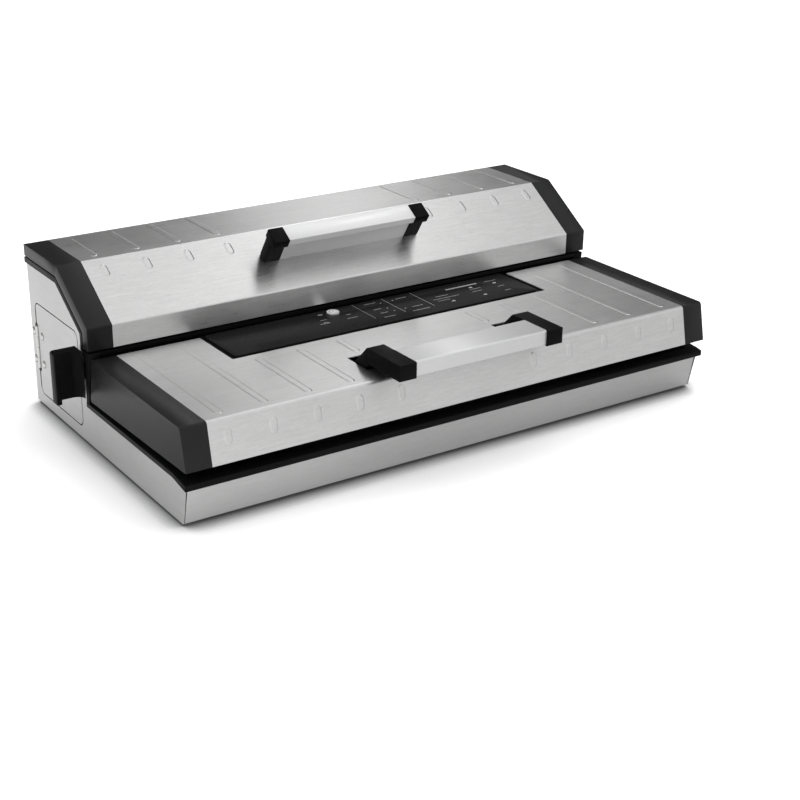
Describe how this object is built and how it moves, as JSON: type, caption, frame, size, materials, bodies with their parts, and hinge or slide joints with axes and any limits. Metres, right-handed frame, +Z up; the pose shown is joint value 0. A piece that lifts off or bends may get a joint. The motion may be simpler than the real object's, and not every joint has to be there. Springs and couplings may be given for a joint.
{
  "type": "vacuum sealer",
  "caption": "Wide steel countertop vacuum sealer with a latching front lid round a control console, a sloped rear lid over the roll bay, and a hinged side door.",
  "frame": {"origin": "middle of the bounding box's underside, on the table", "axes": "+X to the user's right, +Y to the back, +Z up"},
  "size_m": [0.587, 0.3463, 0.1723],
  "materials": {
    "brushed_steel": "brushed along the width",
    "galvanised_steel": "plain zinc-coated sheet",
    "polished_steel": "bright",
    "black_plastic": "fine matt texture",
    "gloss_black": "glossy",
    "satin_aluminium": "satin",
    "silver_button": "satin",
    "clear_lens": "glossy",
    "gasket_foam": "closed-cell foam",
    "silicone": "matt",
    "rubber": "matt",
    "tape": "woven glass tape",
    "heater_strip": "bare",
    "circuit_board": "lacquered",
    "components": "matt",
    "motor_can": "satin",
    "copper": "enamelled wire"
  },
  "bodies": {
    "base": {"board_components": "components", "bottom_plate": "galvanised_steel", "case_screws": "polished_steel", "console_housing": "black_plastic", "control_board": "circuit_board", "control_overlay": "gloss_black", "cutter_rail": "black_plastic", "deck_moulding": "black_plastic", "display_lens": "clear_lens", "door_hinge_frame_leaf": "polished_steel", "equipment_cover": "black_plastic", "fan_frame": "black_plastic", "front_lid_hinges": "galvanised_steel", "front_panel": "brushed_steel", "heating_bar": "satin_aluminium", "heating_elements": "heater_strip", "latch_strikers": "galvanised_steel", "lid_switches": "black_plastic", "lower_gasket": "gasket_foam", "power_board": "circuit_board", "power_inlet": "black_plastic", "pump_bracket": "galvanised_steel", "pump_head": "black_plastic", "pump_motor": "motor_can", "pump_mounts": "rubber", "rear_frame": "black_plastic", "rear_hinge_leaves": "polished_steel", "rear_panel": "galvanised_steel", "ribbon_cable": "components", "roll_bay_liner": "black_plastic", "rubber_feet": "rubber", "sealing_tape": "tape", "side_panel_left": "brushed_steel", "side_panel_right": "brushed_steel", "solenoid_valve": "black_plastic", "transformer_coil": "copper", "transformer_core": "galvanised_steel", "vacuum_chamber": "polished_steel", "vacuum_hose": "silicone"},
    "rear_lid": {"rear_lid_skin": "brushed_steel", "rear_lid_caps": "black_plastic", "rear_lid_liner": "black_plastic", "rear_handle_bar": "satin_aluminium", "rear_handle_ends": "black_plastic", "rear_hinge_lid_leaves": "polished_steel"},
    "front_lid": {"front_lid_skin": "brushed_steel", "front_lid_caps": "black_plastic", "front_lid_liner": "black_plastic", "upper_gasket": "gasket_foam", "pressure_strip": "silicone"},
    "latch_handle": {"latch_handle_bar": "satin_aluminium", "latch_handle_arms": "black_plastic", "latch_shaft": "galvanised_steel"},
    "side_door": {"side_door_panel": "brushed_steel", "side_door_pull": "black_plastic", "door_hinge_leaf": "polished_steel"},
    "start_button": {"start_button": "silver_button"},
    "cutter": {"cutter_slider": "black_plastic", "cutter_blade": "galvanised_steel"},
    "fan_rotor": {"fan_rotor": "black_plastic"}
  },
  "joints": [
    {"name": "rear_lid_hinge", "type": "hinge", "parent": "base", "child": "rear_lid", "pos_m": [0.012, 0.17035, 0.145], "axis": [-1, 0, 0], "range_deg": [0, 95]},
    {"name": "front_lid_hinge", "type": "hinge", "parent": "base", "child": "front_lid", "pos_m": [0.012, 0.01285, 0.082], "axis": [-1, 0, 0], "range_deg": [0, 75]},
    {"name": "latch_hinge", "type": "hinge", "parent": "front_lid", "child": "latch_handle", "pos_m": [0.012, -0.10115, 0.075], "axis": [-1, 0, 0], "range_deg": [0, 28]},
    {"name": "side_door_hinge", "type": "hinge", "parent": "base", "child": "side_door", "pos_m": [-0.2667, 0.15435, 0.0605], "axis": [0, 0, -1], "range_deg": [0, 95]},
    {"name": "start_button_press", "type": "slide", "parent": "base", "child": "start_button", "axis": [0, 0, -1], "range_m": [0, 0.0015], "stiffness_N_per_m": 500, "springref_m": -0.0005},
    {"name": "cutter_slide", "type": "slide", "parent": "base", "child": "cutter", "axis": [1, 0, 0], "range_m": [0, 0.245]},
    {"name": "fan_spin", "type": "hinge", "parent": "base", "child": "fan_rotor", "pos_m": [0.122, 0.15785, 0.075], "axis": [0, 1, 0], "continuous": true}
  ]
}
